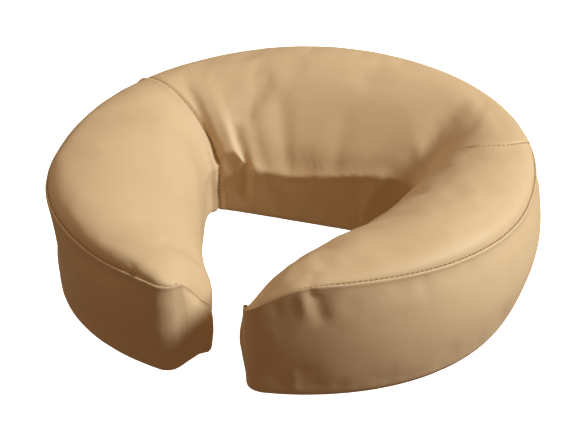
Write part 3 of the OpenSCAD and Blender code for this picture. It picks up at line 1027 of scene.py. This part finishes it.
def loop_strip(name, node, centre_line, width):
    """Sewn loop tape: a flat selvedge along both edges and raised loops between them."""
    rng = np.random.default_rng(PILE_SEED)
    step = np.gradient(centre_line, axis=0)
    step /= np.linalg.norm(step, axis=1, keepdims=True)
    side = np.stack([step[:, 1], -step[:, 0]], -1)
    v = np.linspace(-1, 1, round(width / PILE_STEP)) * width / 2
    xy = centre_line[None] + v[:, None, None] * side[None]
    rows, cols = xy.shape[:2]
    column = np.arange(cols)
    pile = (np.abs(v) < width / 2 - SELVEDGE)[:, None] & (column > 2) & (column < cols - 3)
    low = np.where(pile, 0.02 + 0.9 * rng.random((rows, cols)) ** 2, SELVEDGE_Z)
    top = place(xy, COVER_Z)
    bottom = place(xy, low)
    verts = np.concatenate([top.reshape(-1, 3), bottom.reshape(-1, 3)])
    obj = mesh_object(name, verts, slab_faces(rows, cols))
    tidy_mesh(obj, 0.001)
    finish_piece(obj, "loop_tape", node)
    border = np.concatenate([xy[1], xy[-2, ::-1]])
    path = place(border, SELVEDGE_Z)
    stitch_row(f"{name}_stitches", path, downward(path), [], thick=0.5, lift=0.15)


STRIP_W = 25.0
STRIP_START = 78
STRIP_STOP = 160
arm = np.linspace(STRIP_START, STRIP_STOP, 190)
middle = (outer_radius(arm) + inner_radius(arm)) / 2
arm_line = middle[:, None] * outward(arm)
for side, sign in (("left", -1), ("right", 1)):
    loop_strip(f"loop_tape_{side}", f"loop_strip_{side}", arm_line * np.array([sign, 1]), STRIP_W)
strip_low, strip_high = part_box("loop_strip_crown")
strip_x = np.linspace(strip_low.x / MM, strip_high.x / MM, 113)
strip_y = np.full_like(strip_x, (strip_low.y + strip_high.y) / 2 / MM + MIDDLE_Y)
loop_strip("loop_tape_crown", "loop_strip_crown", np.stack([strip_x, strip_y], -1), STRIP_W)


# ---------------------------------------------------------------- zip
RIB_PITCH = 1.5
RIB_H = 0.04
CORD_H = 0.10
CORD_W = 1.2
TAPE_INSET = 0.12


def zip_tape(name, node):
    """Woven tape with a cord along the edge that carries the coil, and ribs across it."""
    low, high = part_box(node)
    x = np.linspace(low.x, high.x, 281)
    y = np.linspace(low.y, high.y, 16)
    inner_edge = high.y if name.endswith("front") else low.y
    gx, gy = np.meshgrid(x, y)
    rib = RIB_H * MM * np.sin((gx - low.x) / MM * 2 * np.pi / RIB_PITCH)
    cord = CORD_H * MM * np.exp(-(((gy - inner_edge) / MM) / CORD_W) ** 2)
    thick = 0.5 * (high.z - low.z) - TAPE_INSET * MM
    mid = 0.5 * (high.z + low.z)
    upper = np.stack([gx, gy, mid + thick + rib + cord - RIB_H * MM], -1)
    lower = np.stack([gx, gy, mid - thick - rib - cord + RIB_H * MM], -1)
    verts = np.concatenate([upper.reshape(-1, 3), lower.reshape(-1, 3)])
    obj = mesh_object(name, verts, slab_faces(*gx.shape))
    tidy_mesh(obj, 0.001)
    finish_piece(obj, "zip_tape", node)


COIL_PITCH = 1.3
COIL_WIRE = 0.24
COIL_POINTS = 14
COIL_SIDES = 6
COIL_SHIFT = 0.12
COIL_OVERHANG = 0.1


def zip_coil(name, node, towards):
    """Nylon coil: a flattened helix whose turns reach towards the other row."""
    low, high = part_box(node)
    middle_y, middle_z = (low.y + high.y) / 2, (low.z + high.z) / 2
    reach = (high.y - low.y) / 2
    turns = (high.x - low.x) / MM / COIL_PITCH - 1
    t = np.linspace(0, turns * 2 * np.pi, round(turns * COIL_POINTS))
    wire = COIL_WIRE * MM
    x = low.x + wire + t / (2 * np.pi) * COIL_PITCH * MM
    y = middle_y + towards * COIL_SHIFT * MM + (reach - wire + COIL_OVERHANG * MM) * np.cos(t)
    z = middle_z + (reach - wire) * np.sin(t)
    centre = np.stack([x, y, z], -1)
    along = np.gradient(centre, axis=0)
    along /= np.linalg.norm(along, axis=1, keepdims=True)
    side = np.cross(along, [1.0, 0, 0])
    side /= np.linalg.norm(side, axis=1, keepdims=True)
    up = np.cross(side, along)
    turn = np.linspace(0, 2 * np.pi, COIL_SIDES, endpoint=False)[:, None, None]
    verts = (centre + wire * (np.cos(turn) * side + np.sin(turn) * up)).transpose(1, 0, 2).reshape(-1, 3)
    faces = []
    for start in range(0, len(verts) - COIL_SIDES, COIL_SIDES):
        for j in range(COIL_SIDES):
            a, b = start + j, start + (j + 1) % COIL_SIDES
            faces.append((a, b, b + COIL_SIDES, a + COIL_SIDES))
    faces.append(tuple(range(COIL_SIDES - 1, -1, -1)))
    faces.append(tuple(range(len(verts) - COIL_SIDES, len(verts))))
    obj = mesh_object(name, verts, faces)
    tidy_mesh(obj, 0.0005)
    finish_piece(obj, "zip_coil", node)


for row, towards in (("front", 1), ("rear", -1)):
    zip_tape(f"zip_ribbon_{row}", f"zip_tape_{row}")
    zip_coil(f"zip_turns_{row}", f"zip_coil_{row}", towards)

for name in ("zip_end_stop_left", "zip_end_stop_right", "zip_slider", "zip_pull_tab"):
    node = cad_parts[name]
    if node.material_slots:
        node.material_slots[0].material = MATERIALS["zip_metal"]
    else:
        node.data.materials.append(MATERIALS["zip_metal"])


# ---------------------------------------------------------------- camera, light and floor
VIEW_AZIMUTH = 18.1
VIEW_ELEVATION = 30.2
VIEW_DISTANCE = 0.884
VIEW_ROLL = 0.26
VIEW_TARGET = Vector((0.0074, -0.0190, 0.0425))
LENS_MM = 86.4245
SENSOR_MM = 36.0
LAMP_DISTANCE = 2.2
FLOOR_HALF = 6.0


def make_camera():
    """The camera, at an azimuth round its target and an elevation over the floor."""
    az, el, roll = (math.radians(v) for v in (VIEW_AZIMUTH, VIEW_ELEVATION, VIEW_ROLL))
    back = Vector((math.sin(az) * math.cos(el), -math.cos(az) * math.cos(el), math.sin(el)))
    data = bpy.data.cameras.new("camera")
    data.sensor_width = SENSOR_MM
    data.lens = LENS_MM
    camera = bpy.data.objects.new("camera", data)
    turn = back.to_track_quat("Z", "Y").to_matrix() @ Matrix.Rotation(roll, 3, "Z")
    camera.matrix_world = Matrix.Translation(VIEW_TARGET + back * VIEW_DISTANCE) @ turn.to_4x4()
    bpy.context.scene.collection.objects.link(camera)
    bpy.context.scene.camera = camera


def softbox(name, angle, elevation, size, power, colour):
    """A round lamp that looks at the cushion from an angle round the ring and a height over the floor."""
    data = bpy.data.lights.new(name, "AREA")
    data.shape = "DISK"
    data.size = size
    data.energy = power
    data.color = colour
    light = bpy.data.objects.new(name, data)
    a, e = math.radians(angle), math.radians(elevation)
    away = Vector((math.sin(a) * math.cos(e), math.cos(a) * math.cos(e), math.sin(e)))
    turn = away.to_track_quat("Z", "Y").to_matrix()
    light.matrix_world = Matrix.Translation(away * LAMP_DISTANCE) @ turn.to_4x4()
    bpy.context.scene.collection.objects.link(light)


def make_floor():
    """A pale floor that is lit from within to stay plain white, and throws no light on the cushion."""
    corners = [(x * FLOOR_HALF, y * FLOOR_HALF, 0) for x, y in ((-1, -1), (1, -1), (1, 1), (-1, 1))]
    floor = mesh_object("floor", corners, [(0, 1, 2, 3)])
    m = Nodes("pale_floor")
    m.link(m.ramp(m.noise(3.0), [(0.3, (0.90, 0.90, 0.90)), (0.7, (0.92, 0.92, 0.92))]), "Base Color")
    m.shader.inputs["Roughness"].default_value = 0.8
    m.shader.inputs["Emission Color"].default_value = (1, 1, 1, 1)
    m.shader.inputs["Emission Strength"].default_value = 1.5
    floor.visible_diffuse = False
    floor.visible_glossy = False
    floor.data.materials.append(m.material)


def make_world():
    """Weak warm light from all round, in place of what a pale floor would throw back."""
    world = bpy.data.worlds.new("studio")
    world.use_nodes = True
    back = world.node_tree.nodes["Background"]
    back.inputs["Color"].default_value = (1.0, 0.60, 0.34, 1)
    back.inputs["Strength"].default_value = 0.22
    bpy.context.scene.world = world


bpy.context.scene.view_settings.view_transform = "Standard"
make_camera()
softbox("key", 85, 36, 0.5, 54, (0.94, 1.0, 0.97))
softbox("fill", -70, 60, 1.6, 13, (1.0, 0.89, 0.70))
make_floor()
make_world()
